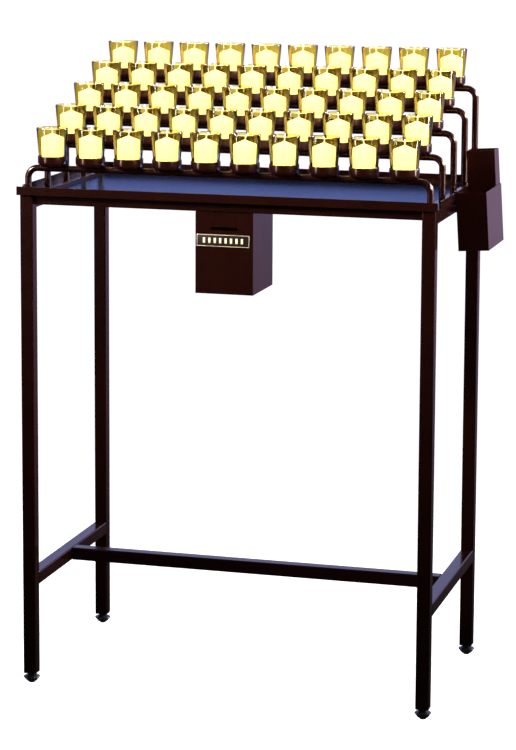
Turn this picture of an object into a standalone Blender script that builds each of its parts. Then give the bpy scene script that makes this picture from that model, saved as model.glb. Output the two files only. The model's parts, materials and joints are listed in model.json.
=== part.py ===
"""A votive candle rack: a square-tube stand with a lipped tray, five stepped rails of welded cups,
an offering box under the tray and a taper holder hung on its right side.

Units are metres and +Z is up. The front faces -Y and +X is to the right. The origin is the centre of
the footprint of everything, on the floor. Each named object is one physical piece.
"""
import math

import bmesh
import bpy
from mathutils import Matrix, Vector

MM = 0.001
GAP = 0.3 * MM

# Stand
TRAY_WIDTH = 813 * MM
TRAY_DEPTH = 457 * MM
LEG_TOP = 957 * MM
LEG_BOTTOM = 20 * MM
TUBE = 25.4 * MM
TUBE_WALL = 1.6 * MM
TUBE_CORNER = 2.2 * MM
TUBE_CORNER_STEPS = 2
STRETCHER_TOP = 219 * MM
SMALL_TUBE = 18 * MM
SMALL_TUBE_SETBACK = 9 * MM
BEARER = 11 * MM
BEARER_SPACING = 80 * MM

# Tray
LIP_OVERHANG = 5 * MM
LIP_HEIGHT = 16.5 * MM
LIP_WALL = 2.5 * MM
LEDGE_WIDTH = 32 * MM
LEDGE_THICKNESS = 3 * MM
PAN_DEPTH = 8 * MM
PAN_SHEET = 1.2 * MM

# Candle rails and cups
CUP_SEGMENTS = 12  # shared by cups, glasses and candles, so that their flats line up
ROW_COUNT = 5
CUP_COUNT = 10
ROW_STEP = 34.5 * MM
FIRST_RAIL_TOP = LEG_TOP + 57.8 * MM
RAIL_RADIUS = 6.35 * MM
RAIL_BEND_RADIUS = 19 * MM
RAIL_BEND_STEPS = 5
RAIL_ROUND_STEPS = 2
RAIL_END_INSET = 14 * MM
CUP_PITCH = 75.5 * MM
CUP_RADIUS = 28 * MM
CUP_HEIGHT = 19 * MM
CUP_WALL = 1.2 * MM
CUP_FLOOR = 2 * MM
CUP_WELD_DEPTH = 1 * MM
CUP_FLOOR_EDGE = 0.5 * MM
CUP_CURVE_TOP = 7 * MM
CUP_CURVE_MIDDLE = 2 * MM
CUP_CURVE_INSET = 2.2 * MM
CUP_BASE_INSET = 7 * MM

# Glasses and candles of the top row
GLASS_HEIGHT = 70 * MM
GLASS_RIM_RADIUS = 30.5 * MM
GLASS_BASE_RADIUS = 24.5 * MM
GLASS_WALL = 2.4 * MM
GLASS_FLOOR = 6 * MM
GLASS_CHAMFER = 2 * MM
CANDLE_TOP_RADIUS = 22 * MM
CANDLE_BASE_RADIUS = 20.5 * MM
CANDLE_HEIGHT = 47 * MM
CANDLE_CROWN = 5.5 * MM
CANDLE_EDGE = 1.2 * MM

# Levelling feet
STUD_RADIUS = 4 * MM
STUD_RISE = 16 * MM
PLUG_HEIGHT = 18 * MM
PLUG_BORE_RADIUS = 4.5 * MM
PLUG_BLANK_RADIUS = 15 * MM
COLLAR_RADIUS = 8 * MM
COLLAR_FOOT = 16 * MM
GLIDE_RADIUS = 16 * MM
GLIDE_TOP = 12.5 * MM
GLIDE_EDGE = 2 * MM
CONE_RADIUS = 10 * MM
CONE_FOOT = 3.5 * MM
PAD_RADIUS = 6 * MM
PAD_HEIGHT = 2.5 * MM
FOOT_SEGMENTS = 16

# Offering box
BOX_WIDTH = 112 * MM
BOX_DEPTH = 136 * MM
BOX_HEIGHT = 154 * MM
BOX_SHEET = 1.6 * MM
SLOT_WIDTH = 52 * MM
SLOT_HEIGHT = 5.8 * MM
SLOT_ABOVE_FLOOR = 123 * MM
PLATE_WIDTH = 101.6 * MM
PLATE_HEIGHT = 22 * MM
PLATE_THICKNESS = 1.8 * MM
PLATE_BORDER = 1.8 * MM
PLATE_RECESS = 0.6 * MM
PLATE_OFFSET = -2 * MM
PLATE_ABOVE_FLOOR = 101 * MM
PLATE_BAR_COUNT = 8
PLATE_BAR_PITCH = 10.5 * MM
PLATE_BAR_WIDTH = 4.2 * MM
PLATE_BAR_HEIGHT = 9.5 * MM
PLATE_BAR_SINK = 0.1 * MM
KNUCKLE_RADIUS = 3 * MM
KNUCKLE_BORE_RADIUS = 1.75 * MM
KNUCKLE_LENGTH = 24 * MM
HINGE_PIN_RADIUS = 1.4 * MM
LEAF_THICKNESS = 1.2 * MM
LEAF_WIDTH = 18 * MM
LEAF_SETBACK = 0.5 * MM
DOOR_EDGE = 0.6 * MM
TONGUE_NEAR = 2 * MM
TONGUE_FAR = 7 * MM
LOCK_INSET = 20 * MM
LOCK_RADIUS = 8 * MM
LOCK_RIM_RADIUS = 10.5 * MM
LOCK_RIM_THICKNESS = 2.5 * MM
LOCK_REACH = 10 * MM
CAM_THICKNESS = 2 * MM
CAM_WIDTH = 8 * MM
CAM_LENGTH = 17 * MM
STRIKE_WIDTH = 6 * MM
STRIKE_NEAR = 6 * MM
STRIKE_FAR = 9 * MM
STRIKE_HEIGHT = 20 * MM
ROUND_SEGMENTS = 12
SLOT_END_STEPS = 6

# Taper holder
HOLDER_WIDTH = 58 * MM
HOLDER_DEPTH = 154 * MM
HOLDER_HEIGHT = 110 * MM
HOLDER_SHEET = 1.5 * MM
HOLDER_LEAN = math.radians(3.5)
HOLDER_FROM_LEG_FRONT = 154 * MM
HOOK_GAP = 1 * MM
HOOK_CHANNEL = 5 * MM
HOOK_DROP = 8 * MM
HOOK_WELD = 4 * MM
SPACER_RADIUS = 5 * MM
SPACER_BELOW_LIP = 18 * MM
SPACER_INSET = 24 * MM
SPACER_CLEARANCE = 0.5 * MM
SLEEVE_DEPTH = 44 * MM
SLEEVE_HEIGHT = 176 * MM
SLEEVE_SHEET = 1.2 * MM

# Places that follow from the sizes above
HOLDER_REACH = (
    (HOOK_GAP + HOLDER_WIDTH) * math.cos(HOLDER_LEAN)
    + HOLDER_HEIGHT * math.sin(HOLDER_LEAN)
)
CENTRE_X = -HOLDER_REACH / 2
CENTRE_Y = (CUP_RADIUS - GLASS_RIM_RADIUS) / 2
FRAME_HALF_WIDTH = TRAY_WIDTH / 2 - LIP_OVERHANG
FRAME_HALF_DEPTH = TRAY_DEPTH / 2 - LIP_OVERHANG
LEDGE_TOP = LEG_TOP + GAP + LEDGE_THICKNESS
LIP_TOP = LEG_TOP + GAP + LIP_HEIGHT
ROW_PITCH = 2 * (FRAME_HALF_DEPTH - RAIL_END_INSET) / (ROW_COUNT - 1)
BOX_FLOOR = LEG_TOP - SMALL_TUBE - GAP - BOX_HEIGHT
BOX_FRONT = CENTRE_Y - FRAME_HALF_DEPTH + SMALL_TUBE_SETBACK
BOX_REAR = BOX_FRONT + BOX_DEPTH
BOX_LEFT = CENTRE_X - BOX_WIDTH / 2
BOX_RIGHT = CENTRE_X + BOX_WIDTH / 2
HINGE_X = BOX_LEFT - KNUCKLE_RADIUS
HINGE_Y = BOX_REAR
LOCK_X = BOX_RIGHT - LOCK_INSET
LOCK_Z = BOX_FLOOR + BOX_HEIGHT / 2

SHARP_ANGLE = math.radians(35)
MERGE_DISTANCE = 0.00001
ALIGNED = 0.9


def clear_scene():
    """Remove every object of the scene."""
    for obj in list(bpy.data.objects):
        bpy.data.objects.remove(obj, do_unlink=True)


def new_collection(name):
    """A collection of the scene."""
    collection = bpy.data.collections.new(name)
    bpy.context.scene.collection.children.link(collection)
    return collection


def new_material(name, colour, roughness, metallic=0.0, transmission=0.0):
    """A Principled material with one colour."""
    material = bpy.data.materials.new(name)
    material.use_nodes = True
    shader = material.node_tree.nodes["Principled BSDF"]
    shader.inputs["Base Color"].default_value = (*colour, 1.0)
    shader.inputs["Roughness"].default_value = roughness
    shader.inputs["Metallic"].default_value = metallic
    shader.inputs["Transmission Weight"].default_value = transmission
    return material


def link_object(name, data, material, collection):
    """An object of one material in a collection."""
    obj = bpy.data.objects.new(name, data)
    data.materials.append(material)
    collection.objects.link(obj)
    return obj


def as_cutter(obj):
    """Mark an object as a cutter or a guide, which is no piece of its own."""
    obj.hide_render = True
    obj.display_type = "WIRE"
    return obj


def block_mesh(name, size):
    """A rectangular block about its centre."""
    mesh = bpy.data.meshes.new(name)
    shape = bmesh.new()
    bmesh.ops.create_cube(shape, size=1.0)
    bmesh.ops.scale(shape, vec=size, verts=shape.verts)
    shape.to_mesh(mesh)
    shape.free()
    return mesh


def add_block(name, low, high, material, collection):
    """A rectangular block between its lowest and highest corners."""
    low = Vector(low)
    high = Vector(high)
    obj = link_object(name, block_mesh(name, high - low), material, collection)
    obj.location = (low + high) / 2
    return obj


def faces_towards(shape, directions):
    """The faces of a mesh whose normals point one of the ways given."""
    found = []
    for face in shape.faces:
        if any(face.normal.dot(Vector(way)) > ALIGNED for way in directions):
            found.append(face)
    return found


def add_shell(name, low, high, open_ways, wall, material, collection, corner=0.0):
    """A box without the faces on its open sides, thickened inwards to a sheet or tube wall."""
    low = Vector(low)
    high = Vector(high)
    mesh = block_mesh(name, high - low)
    shape = bmesh.new()
    shape.from_mesh(mesh)
    shape.normal_update()
    bmesh.ops.delete(shape, geom=faces_towards(shape, open_ways), context="FACES")
    if corner:
        long_edges = [edge for edge in shape.edges if len(edge.link_faces) == 2]
        bmesh.ops.bevel(shape, geom=long_edges, offset=corner, segments=TUBE_CORNER_STEPS, affect="EDGES",
                         profile=0.5)
    shape.to_mesh(mesh)
    shape.free()
    obj = link_object(name, mesh, material, collection)
    obj.location = (low + high) / 2
    thicken = obj.modifiers.new("wall", "SOLIDIFY")
    thicken.thickness = wall
    thicken.offset = -1
    thicken.use_even_offset = True
    return obj


def add_tube(name, low, high, axis, material, collection):
    """A square tube, open at both ends, that runs along one axis (0, 1 or 2)."""
    end = [0.0, 0.0, 0.0]
    end[axis] = 1.0
    ways = (Vector(end), -Vector(end))
    return add_shell(name, low, high, ways, TUBE_WALL, material, collection, TUBE_CORNER)


def add_turned(name, profile, segments, material, collection, location=(0, 0, 0)):
    """A shape turned about its own Z axis from a profile of (radius, height) points.

    The profile starts and ends on the axis or at the same point, and runs down its outer side.
    """
    mesh = bpy.data.meshes.new(name)
    closed = profile[0] == profile[-1]
    points = profile[:-1] if closed else profile
    edges = [(index, index + 1) for index in range(len(points) - 1)]
    if closed:
        edges.append((len(points) - 1, 0))
    mesh.from_pydata([(radius, 0.0, height) for radius, height in points], edges, [])
    obj = link_object(name, mesh, material, collection)
    obj.location = location
    screw = obj.modifiers.new("turn", "SCREW")
    screw.axis = "Z"
    screw.angle = math.tau
    screw.steps = segments
    screw.render_steps = segments
    screw.use_merge_vertices = True
    screw.merge_threshold = MERGE_DISTANCE
    screw.use_smooth_shade = True
    return obj


def add_outline(name, outline, length, material, collection, matrix):
    """A flat closed outline, extruded by half the length to each side of its own plane."""
    curve = bpy.data.curves.new(name, "CURVE")
    curve.dimensions = "2D"
    curve.fill_mode = "BOTH"
    curve.extrude = length / 2
    spline = curve.splines.new("POLY")
    spline.points.add(len(outline) - 1)
    for point, (across, up) in zip(spline.points, outline):
        point.co = (across, up, 0.0, 1.0)
    spline.use_cyclic_u = True
    obj = link_object(name, curve, material, collection)
    obj.matrix_world = matrix
    return obj


def meshed(obj, collection):
    """The mesh object that takes a curve's place, with its caps welded on."""
    bpy.context.view_layer.update()
    evaluated = obj.evaluated_get(bpy.context.evaluated_depsgraph_get())
    mesh = bpy.data.meshes.new_from_object(evaluated)
    shape = bmesh.new()
    shape.from_mesh(mesh)
    bmesh.ops.remove_doubles(shape, verts=shape.verts, dist=MERGE_DISTANCE)
    shape.to_mesh(mesh)
    shape.free()
    name = obj.name
    matrix = obj.matrix_world.copy()
    bpy.data.objects.remove(obj, do_unlink=True)
    result = bpy.data.objects.new(name, mesh)
    result.matrix_world = matrix
    collection.objects.link(result)
    return result


def combine(obj, other, operation):
    """A live Boolean of an object with a cutter."""
    boolean = obj.modifiers.new(other.name, "BOOLEAN")
    boolean.operation = operation
    boolean.object = other
    boolean.solver = "EXACT"
    as_cutter(other)


def set_origin(obj, point):
    """Put an object's origin at a point of the world without moving its shape."""
    point = Vector(point)
    shift = obj.location - point
    obj.data.transform(Matrix.Translation(shift))
    obj.location = point


def side_name(side):
    """The word for the left (-1) or the right (+1) side."""
    return "left" if side < 0 else "right"


def end_name(end):
    """The word for the front (-1) or the rear (+1)."""
    return "front" if end < 0 else "rear"


def span(side, near, far, centre):
    """The low and high coordinate of a stretch between two distances from the centre, on one side."""
    ends = (centre + side * near, centre + side * far)
    return min(ends), max(ends)


def build_legs(paint, parts):
    """Four square tube legs."""
    for side in (-1, 1):
        for end in (-1, 1):
            x_low, x_high = span(side, FRAME_HALF_WIDTH - TUBE, FRAME_HALF_WIDTH, CENTRE_X)
            y_low, y_high = span(end, FRAME_HALF_DEPTH - TUBE, FRAME_HALF_DEPTH, CENTRE_Y)
            name = f"leg_{end_name(end)}_{side_name(side)}"
            low = (x_low, y_low, LEG_BOTTOM)
            high = (x_high, y_high, LEG_TOP)
            add_tube(name, low, high, 2, paint, parts)


def foot_profile():
    """A stud, a collar, a wide glide and its small contact pad, from the top down."""
    return [
        (0, LEG_BOTTOM + STUD_RISE),
        (STUD_RADIUS, LEG_BOTTOM + STUD_RISE),
        (STUD_RADIUS, LEG_BOTTOM - GAP),
        (COLLAR_RADIUS, LEG_BOTTOM - GAP),
        (COLLAR_RADIUS, COLLAR_FOOT),
        (GLIDE_RADIUS, GLIDE_TOP),
        (GLIDE_RADIUS, GLIDE_TOP - GLIDE_EDGE),
        (CONE_RADIUS, CONE_FOOT),
        (PAD_RADIUS, PAD_HEIGHT),
        (PAD_RADIUS, 0),
        (0, 0),
    ]


def plug_profile():
    """A bored insert as wide as a leg's inside, before its flats are cut."""
    return [
        (PLUG_BORE_RADIUS, LEG_BOTTOM + PLUG_HEIGHT),
        (PLUG_BLANK_RADIUS, LEG_BOTTOM + PLUG_HEIGHT),
        (PLUG_BLANK_RADIUS, LEG_BOTTOM + GAP),
        (PLUG_BORE_RADIUS, LEG_BOTTOM + GAP),
        (PLUG_BORE_RADIUS, LEG_BOTTOM + PLUG_HEIGHT),
    ]


def build_feet(plastic, nylon, parts, cutters):
    """A threaded plug inside each leg and the levelling foot that screws into it."""
    half = TUBE / 2 - TUBE_WALL - GAP
    for side in (-1, 1):
        for end in (-1, 1):
            x = CENTRE_X + side * (FRAME_HALF_WIDTH - TUBE / 2)
            y = CENTRE_Y + end * (FRAME_HALF_DEPTH - TUBE / 2)
            place = f"{end_name(end)}_{side_name(side)}"
            plug = add_turned(f"leg_plug_{place}", plug_profile(), FOOT_SEGMENTS, nylon, parts, (x, y, 0))
            low = (x - half, y - half, LEG_BOTTOM)
            high = (x + half, y + half, LEG_BOTTOM + PLUG_HEIGHT + GAP)
            flats = add_block(f"plug_flats_{place}", low, high, nylon, cutters)
            combine(plug, flats, "INTERSECT")
            add_turned(f"levelling_foot_{place}", foot_profile(), FOOT_SEGMENTS, plastic, parts, (x, y, 0))


def build_frame(paint, parts):
    """The rails between the legs, high and low, and the bearers under the tray pan."""
    leg_inner_x = FRAME_HALF_WIDTH - TUBE
    leg_inner_y = FRAME_HALF_DEPTH - TUBE
    for side in (-1, 1):
        x_low, x_high = span(side, leg_inner_x, FRAME_HALF_WIDTH, CENTRE_X)
        y_low = CENTRE_Y - leg_inner_y + GAP
        y_high = CENTRE_Y + leg_inner_y - GAP
        for name, top in (("upper_side_rail", LEG_TOP), ("lower_side_stretcher", STRETCHER_TOP)):
            low = (x_low, y_low, top - TUBE)
            high = (x_high, y_high, top)
            add_tube(f"{name}_{side_name(side)}", low, high, 1, paint, parts)
    reach = leg_inner_x - GAP
    for end in (-1, 1):
        outer = FRAME_HALF_DEPTH - SMALL_TUBE_SETBACK
        y_low, y_high = span(end, outer - SMALL_TUBE, outer, CENTRE_Y)
        low = (CENTRE_X - reach, y_low, LEG_TOP - SMALL_TUBE)
        high = (CENTRE_X + reach, y_high, LEG_TOP)
        add_tube(f"upper_{end_name(end)}_rail", low, high, 0, paint, parts)
        bearer_reach = outer - SMALL_TUBE - GAP
    low = (CENTRE_X - reach, CENTRE_Y - TUBE / 2, STRETCHER_TOP - TUBE)
    high = (CENTRE_X + reach, CENTRE_Y + TUBE / 2, STRETCHER_TOP)
    add_tube("lower_cross_stretcher", low, high, 0, paint, parts)
    for side in (-1, 1):
        x = CENTRE_X + side * BEARER_SPACING / 2
        low = (x - BEARER / 2, CENTRE_Y - bearer_reach, LEG_TOP - SMALL_TUBE)
        high = (x + BEARER / 2, CENTRE_Y + bearer_reach, LEG_TOP - SMALL_TUBE + BEARER)
        add_block(f"tray_bearer_{side_name(side)}", low, high, paint, parts)


def lip_outline():
    """An angle section: across is the distance inwards from the lip's outer face, up is from its foot."""
    return [
        (0, 0),
        (LEDGE_WIDTH, 0),
        (LEDGE_WIDTH, LEDGE_THICKNESS),
        (LIP_WALL, LEDGE_THICKNESS),
        (LIP_WALL, LIP_HEIGHT),
        (0, LIP_HEIGHT),
    ]


def axes_matrix(across, up, along, origin):
    """The placing of an outline whose own x, y and z point the ways given."""
    matrix = Matrix((Vector(across), Vector(up), Vector(along))).transposed().to_4x4()
    matrix.translation = Vector(origin)
    return matrix


def build_tray(paint, mirror, parts):
    """The lip of four angle bars, and the polished pan that drops between their ledges."""
    foot = LEG_TOP + GAP
    for end in (-1, 1):
        origin = (CENTRE_X, CENTRE_Y + end * TRAY_DEPTH / 2, foot)
        matrix = axes_matrix((0, -end, 0), (0, 0, 1), (-end, 0, 0), origin)
        add_outline(f"tray_lip_{end_name(end)}", lip_outline(), TRAY_WIDTH, paint, parts, matrix)
    side_length = TRAY_DEPTH - 2 * (LEDGE_WIDTH + GAP)
    for side in (-1, 1):
        origin = (CENTRE_X + side * TRAY_WIDTH / 2, CENTRE_Y, foot)
        matrix = axes_matrix((-side, 0, 0), (0, 0, 1), (0, side, 0), origin)
        add_outline(f"tray_lip_{side_name(side)}", lip_outline(), side_length, paint, parts, matrix)
    half_x = TRAY_WIDTH / 2 - LEDGE_WIDTH - GAP
    half_y = TRAY_DEPTH / 2 - LEDGE_WIDTH - GAP
    low = (CENTRE_X - half_x, CENTRE_Y - half_y, LEDGE_TOP - PAN_DEPTH)
    high = (CENTRE_X + half_x, CENTRE_Y + half_y, LEDGE_TOP)
    add_shell("tray_pan", low, high, [(0, 0, 1)], PAN_SHEET, mirror, parts)


def rail_path(half_width, foot, top):
    """The centre line of a rail in its own XZ plane: up, round a bend, across, round and down."""
    bend = RAIL_BEND_RADIUS
    points = [(-half_width, foot)]
    for step in range(RAIL_BEND_STEPS + 1):
        turn = math.pi / 2 * step / RAIL_BEND_STEPS
        x = -half_width + bend * (1 - math.cos(turn))
        z = top - bend * (1 - math.sin(turn))
        points.append((x, z))
    return points + [(-x, z) for x, z in reversed(points)]


def cup_profile():
    """A shallow cup with a rounded lower edge, from the middle of its floor over the rim to its base."""
    inner = CUP_RADIUS - CUP_WALL
    return [
        (0, CUP_FLOOR),
        (inner - CUP_FLOOR_EDGE, CUP_FLOOR),
        (inner, CUP_HEIGHT),
        (CUP_RADIUS, CUP_HEIGHT),
        (CUP_RADIUS, CUP_CURVE_TOP),
        (CUP_RADIUS - CUP_CURVE_INSET, CUP_CURVE_MIDDLE),
        (CUP_RADIUS - CUP_BASE_INSET, 0),
        (0, 0),
    ]


def cup_x(index):
    """The X place of a cup, counted from the left."""
    return CENTRE_X + (index - (CUP_COUNT - 1) / 2) * CUP_PITCH


def row_y(row):
    """The Y place of a row, counted from the front."""
    return CENTRE_Y + (row - (ROW_COUNT - 1) / 2) * ROW_PITCH


def cup_base(row):
    """The height of the underside of a row's cups, which bite a little into the tube for the weld."""
    return FIRST_RAIL_TOP + row * ROW_STEP - CUP_WELD_DEPTH


def build_rails(paint, parts, cutters):
    """Five bent tubes that stand on the side ledges, each with its row of cups welded on."""
    half_width = FRAME_HALF_WIDTH - TUBE / 2
    for row in range(ROW_COUNT):
        top = FIRST_RAIL_TOP + row * ROW_STEP - RAIL_RADIUS
        curve = bpy.data.curves.new(f"candle_rail_{row + 1}", "CURVE")
        curve.dimensions = "3D"
        curve.bevel_depth = RAIL_RADIUS
        curve.bevel_resolution = RAIL_ROUND_STEPS
        curve.use_fill_caps = True
        path = rail_path(half_width, LEDGE_TOP + GAP, top)
        spline = curve.splines.new("POLY")
        spline.points.add(len(path) - 1)
        for point, (x, z) in zip(spline.points, path):
            point.co = (x, 0.0, z, 1.0)
        tube = link_object(curve.name, curve, paint, parts)
        tube.location = (CENTRE_X, row_y(row), 0)
        rail = meshed(tube, parts)
        cups = add_turned(
            f"cups_of_row_{row + 1}", cup_profile(), CUP_SEGMENTS, paint, cutters,
            (cup_x(0), row_y(row), cup_base(row)),
        )
        repeat = cups.modifiers.new("row", "ARRAY")
        repeat.count = CUP_COUNT
        repeat.use_relative_offset = False
        repeat.use_constant_offset = True
        repeat.constant_offset_displace = (CUP_PITCH, 0, 0)
        combine(rail, cups, "UNION")


def glass_profile():
    """A tapered glass with a thick floor, from its inner floor over the rim to its base."""
    slope = (GLASS_RIM_RADIUS - GLASS_BASE_RADIUS) / GLASS_HEIGHT
    inner_floor = GLASS_BASE_RADIUS + slope * GLASS_FLOOR - GLASS_WALL
    return [
        (0, GLASS_FLOOR),
        (inner_floor, GLASS_FLOOR),
        (GLASS_RIM_RADIUS - GLASS_WALL, GLASS_HEIGHT),
        (GLASS_RIM_RADIUS, GLASS_HEIGHT),
        (GLASS_BASE_RADIUS + slope * GLASS_CHAMFER, GLASS_CHAMFER),
        (GLASS_BASE_RADIUS - GLASS_CHAMFER, 0),
        (0, 0),
    ]


def candle_profile():
    """A tapered candle with a low conical crown."""
    return [
        (0, CANDLE_HEIGHT + CANDLE_CROWN),
        (CANDLE_TOP_RADIUS - CANDLE_EDGE, CANDLE_HEIGHT),
        (CANDLE_TOP_RADIUS, CANDLE_HEIGHT - CANDLE_EDGE),
        (CANDLE_BASE_RADIUS, 0),
        (0, 0),
    ]


def build_top_row(glass, wax, parts):
    """The glass and the candle in each cup of the top row."""
    row = ROW_COUNT - 1
    base = cup_base(row) + CUP_FLOOR + GAP
    for index in range(CUP_COUNT):
        place = (cup_x(index), row_y(row), base)
        name = f"votive_glass_{index + 1:02d}"
        add_turned(name, glass_profile(), CUP_SEGMENTS, glass, parts, place)
        place = (cup_x(index), row_y(row), base + GLASS_FLOOR + GAP)
        name = f"votive_candle_{index + 1:02d}"
        add_turned(name, candle_profile(), CUP_SEGMENTS, wax, parts, place)


def ring_profile(inner, outer, length):
    """A plain tube section about the middle of its length."""
    return [
        (inner, length / 2),
        (outer, length / 2),
        (outer, -length / 2),
        (inner, -length / 2),
        (inner, length / 2),
    ]


def disc_profile(radius, low, high):
    """A plain solid cylinder section."""
    return [(0, high), (radius, high), (radius, low), (0, low)]


def add_knuckle(name, height, material, collection):
    """One barrel of the door hinge, centred at a height on the hinge axis."""
    profile = ring_profile(KNUCKLE_BORE_RADIUS, KNUCKLE_RADIUS, KNUCKLE_LENGTH)
    return add_turned(name, profile, ROUND_SEGMENTS, material, collection, (HINGE_X, HINGE_Y, height))


def slot_outline():
    """A slot with round ends, about its centre."""
    radius = SLOT_HEIGHT / 2
    half = SLOT_WIDTH / 2 - radius
    points = []
    for side in (1, -1):
        for step in range(SLOT_END_STEPS + 1):
            turn = -math.pi / 2 + math.pi * step / SLOT_END_STEPS
            points.append((side * (half + radius * math.cos(turn)), side * radius * math.sin(turn)))
    return points


def build_box_body(paint, parts, cutters):
    """The offering box: a sheet box open at the rear, slotted in front, with hinge barrels and strike."""
    low = (BOX_LEFT, BOX_FRONT, BOX_FLOOR)
    high = (BOX_RIGHT, BOX_REAR, BOX_FLOOR + BOX_HEIGHT)
    body = add_shell("offering_box_body", low, high, [(0, 1, 0)], BOX_SHEET, paint, parts)
    slot_centre = (CENTRE_X, BOX_FRONT, BOX_FLOOR + SLOT_ABOVE_FLOOR)
    matrix = axes_matrix((1, 0, 0), (0, 0, 1), (0, -1, 0), slot_centre)
    slot = add_outline("coin_slot_cutter", slot_outline(), 4 * BOX_SHEET, paint, cutters, matrix)
    combine(body, meshed(slot, cutters), "DIFFERENCE")
    for end in (-1, 1):
        height = LOCK_Z + end * (BOX_HEIGHT / 2 - KNUCKLE_LENGTH)
        knuckle = add_knuckle(f"box_knuckle_{end + 1}", height, paint, cutters)
        low = (BOX_LEFT - LEAF_THICKNESS, BOX_REAR - LEAF_WIDTH, height - KNUCKLE_LENGTH / 2)
        high = (BOX_LEFT + BOX_SHEET / 2, BOX_REAR - LEAF_SETBACK, height + KNUCKLE_LENGTH / 2)
        leaf = add_block(f"box_leaf_{end + 1}", low, high, paint, cutters)
        combine(body, leaf, "UNION")
        combine(body, knuckle, "UNION")
    low = (BOX_RIGHT - BOX_SHEET - STRIKE_WIDTH, BOX_REAR - STRIKE_FAR, LOCK_Z - STRIKE_HEIGHT / 2)
    high = (BOX_RIGHT - BOX_SHEET / 2, BOX_REAR - STRIKE_NEAR, LOCK_Z + STRIKE_HEIGHT / 2)
    combine(body, add_block("lock_strike", low, high, paint, cutters), "UNION")


def build_box_door(paint, steel, parts, cutters):
    """The rear door with its hinge pin, lock cylinder and turning cam."""
    face = BOX_REAR + GAP
    low = (BOX_LEFT + DOOR_EDGE, face, BOX_FLOOR)
    high = (BOX_RIGHT, face + BOX_SHEET, BOX_FLOOR + BOX_HEIGHT)
    door = add_block("offering_box_door", low, high, paint, parts)
    low = (HINGE_X + TONGUE_NEAR, face, LOCK_Z - KNUCKLE_LENGTH / 2)
    high = (HINGE_X + TONGUE_FAR, face + BOX_SHEET, LOCK_Z + KNUCKLE_LENGTH / 2)
    set_origin(door, (HINGE_X, HINGE_Y, LOCK_Z))
    combine(door, add_block("door_tongue", low, high, paint, cutters), "UNION")
    combine(door, add_knuckle("door_knuckle", LOCK_Z, paint, cutters), "UNION")
    profile = disc_profile(LOCK_RADIUS + GAP, -STRIKE_FAR, STRIKE_FAR)
    hole = add_turned("lock_hole", profile, FOOT_SEGMENTS, paint, cutters, (LOCK_X, BOX_REAR, LOCK_Z))
    hole.rotation_euler = (-math.pi / 2, 0, 0)
    combine(door, hole, "DIFFERENCE")

    pin_length = BOX_HEIGHT - KNUCKLE_LENGTH / 2
    profile = disc_profile(HINGE_PIN_RADIUS, -pin_length / 2, pin_length / 2)
    place = (HINGE_X, HINGE_Y, LOCK_Z)
    add_turned("door_hinge_pin", profile, ROUND_SEGMENTS, steel, parts, place)

    rim_foot = BOX_SHEET + 2 * GAP
    profile = [
        (0, rim_foot + LOCK_RIM_THICKNESS),
        (LOCK_RIM_RADIUS, rim_foot + LOCK_RIM_THICKNESS),
        (LOCK_RIM_RADIUS, rim_foot),
        (LOCK_RADIUS, rim_foot),
        (LOCK_RADIUS, -LOCK_REACH),
        (0, -LOCK_REACH),
    ]
    place = (LOCK_X, BOX_REAR, LOCK_Z)
    lock = add_turned("lock_cylinder", profile, FOOT_SEGMENTS, steel, parts, place)
    lock.rotation_euler = (-math.pi / 2, 0, 0)

    cam_face = BOX_REAR - LOCK_REACH - GAP
    low = (LOCK_X - CAM_WIDTH / 2, cam_face - CAM_THICKNESS, LOCK_Z - CAM_WIDTH / 2)
    high = (LOCK_X + CAM_WIDTH / 2, cam_face, LOCK_Z + CAM_LENGTH)
    cam = add_block("lock_cam", low, high, steel, parts)
    set_origin(cam, (LOCK_X, cam_face, LOCK_Z))


def build_name_plate(brass, parts, cutters):
    """A plate with a raised border and a row of plain raised bars, on the front of the box."""
    centre = Vector((
        CENTRE_X + PLATE_OFFSET,
        BOX_FRONT - GAP - PLATE_THICKNESS / 2,
        BOX_FLOOR + PLATE_ABOVE_FLOOR,
    ))
    half = Vector((PLATE_WIDTH, PLATE_THICKNESS, PLATE_HEIGHT)) / 2
    plate = add_block("name_plate", centre - half, centre + half, brass, parts)
    face = centre.y - half.y
    inset = Vector((PLATE_BORDER, 0, PLATE_BORDER))
    low = centre - half + inset
    high = centre + half - inset
    low.y = face - PLATE_RECESS
    high.y = face + PLATE_RECESS
    combine(plate, add_block("plate_field", low, high, brass, cutters), "DIFFERENCE")
    row_start = centre.x - PLATE_BAR_PITCH * (PLATE_BAR_COUNT - 1) / 2
    low = (row_start - PLATE_BAR_WIDTH / 2, face + PLATE_BAR_SINK, centre.z - PLATE_BAR_HEIGHT / 2)
    high = (row_start + PLATE_BAR_WIDTH / 2, face + 2 * PLATE_RECESS, centre.z + PLATE_BAR_HEIGHT / 2)
    bars = add_block("plate_bars", low, high, brass, cutters)
    repeat = bars.modifiers.new("row", "ARRAY")
    repeat.count = PLATE_BAR_COUNT
    repeat.use_relative_offset = False
    repeat.use_constant_offset = True
    repeat.constant_offset_displace = (PLATE_BAR_PITCH, 0, 0)
    combine(plate, bars, "UNION")


def hook_outline():
    """A strip that leaves the holder's inner wall, passes over the lip and turns down behind it."""
    outer = -(HOOK_CHANNEL - HOOK_GAP + HOLDER_SHEET)
    wall = HOOK_GAP + HOLDER_SHEET
    top = GAP + HOLDER_SHEET
    return [
        (wall, top),
        (outer, top),
        (outer, -HOOK_DROP),
        (outer + HOLDER_SHEET, -HOOK_DROP),
        (outer + HOLDER_SHEET, GAP),
        (HOOK_GAP, GAP),
        (HOOK_GAP, -HOOK_WELD),
        (wall, -HOOK_WELD),
    ]


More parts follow.
